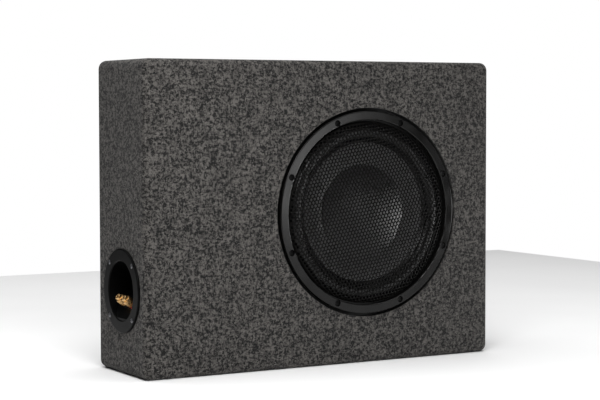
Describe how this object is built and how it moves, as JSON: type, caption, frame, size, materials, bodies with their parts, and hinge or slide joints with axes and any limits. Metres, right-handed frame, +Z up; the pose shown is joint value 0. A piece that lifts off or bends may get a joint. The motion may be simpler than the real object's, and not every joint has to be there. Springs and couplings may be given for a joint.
{
  "type": "car subwoofer",
  "caption": "Slim carpeted sealed-box car subwoofer with a perforated round grille in its front and a round terminal cup with binding posts in its side.",
  "frame": {"origin": "middle of the base, on the surface that the box stands on", "axes": "+X to the right seen from the front, the driver faces -Y, +Z up"},
  "size_m": [0.5293, 0.1482, 0.402],
  "materials": {
    "mdf": "raw MDF board",
    "carpet": "heather grey non-woven carpet",
    "zinc_steel": "zinc-plated steel",
    "black_steel": "black painted steel",
    "ring_plastic": "satin charcoal plastic",
    "grille_steel": "black powder-coated perforated steel",
    "foam_rubber": "closed-cell foam",
    "rubber": "moulded rubber",
    "cone_paper": "coated paper pulp",
    "former_aluminium": "anodised foil",
    "copper_wire": "enamelled copper",
    "spider_cloth": "resin-treated cloth",
    "ferrite": "sintered ferrite",
    "tinned_brass": "tinned brass",
    "gold_brass": "gold-plated brass",
    "cup_plastic": "black moulded ABS",
    "red_plastic": "red nylon",
    "black_plastic": "black nylon",
    "red_wire": "red PVC insulation",
    "black_wire": "black PVC insulation"
  },
  "bodies": {
    "box": {"front_baffle": "mdf", "back_panel": "mdf", "top_panel": "mdf", "bottom_panel": "mdf", "left_panel": "mdf", "right_panel": "mdf", "panel_screws": "zinc_steel", "carpet_wrap": "carpet", "carpet_back": "carpet", "carpet_base": "carpet", "driver_screws": "black_steel", "trim_ring": "ring_plastic", "grille_mesh": "grille_steel", "driver_gasket": "foam_rubber", "basket": "black_steel", "surround": "rubber", "spider": "spider_cloth", "top_plate": "zinc_steel", "magnet": "ferrite", "t_yoke": "zinc_steel", "plate_rivets": "zinc_steel", "tag_board": "cup_plastic", "driver_tags": "tinned_brass", "spade_connectors": "tinned_brass", "tinsel_leads": "copper_wire", "terminal_cup": "cup_plastic", "cup_screws": "zinc_steel", "solder_lugs": "tinned_brass", "post_nuts": "gold_brass", "lead_positive": "red_wire", "lead_negative": "black_wire", "stud_positive": "gold_brass", "stud_negative": "gold_brass", "bush_positive": "red_plastic", "bush_negative": "black_plastic"},
    "cone_assembly": {"cone": "cone_paper", "dust_cap": "cone_paper", "voice_coil_former": "former_aluminium", "voice_coil": "copper_wire"},
    "washer_positive": {"washer_positive": "gold_brass"},
    "knob_positive": {"knob_positive": "gold_brass"},
    "washer_negative": {"washer_negative": "gold_brass"},
    "knob_negative": {"knob_negative": "gold_brass"}
  },
  "joints": [
    {"name": "cone_slide", "type": "slide", "parent": "box", "child": "cone_assembly", "axis": [0, -1, 0], "range_m": [-0.006, 0.006], "stiffness_N_per_m": 5000, "deforming": ["surround", "spider", "tinsel_leads"]},
    {"name": "washer_lift_positive", "type": "slide", "parent": "box", "child": "washer_positive", "axis": [-0.7986, 0, 0.6018], "range_m": [0, 0.004]},
    {"name": "knob_turn_positive", "type": "hinge", "parent": "washer_positive", "child": "knob_positive", "pos_m": [-0.25819, -0.0148, 0.09502], "axis": [-0.7986, 0, 0.6018], "range_deg": [0, 1800]},
    {"name": "washer_lift_negative", "type": "slide", "parent": "box", "child": "washer_negative", "axis": [-0.7986, 0, 0.6018], "range_m": [0, 0.004]},
    {"name": "knob_turn_negative", "type": "hinge", "parent": "washer_negative", "child": "knob_negative", "pos_m": [-0.25819, 0.00425, 0.09502], "axis": [-0.7986, 0, 0.6018], "range_deg": [0, 1800]}
  ],
  "couplings": [
    {"joint": "washer_lift_positive", "follows": "knob_turn_positive", "m_per_rad": 0.00012732},
    {"joint": "washer_lift_negative", "follows": "knob_turn_negative", "m_per_rad": 0.00012732}
  ]
}
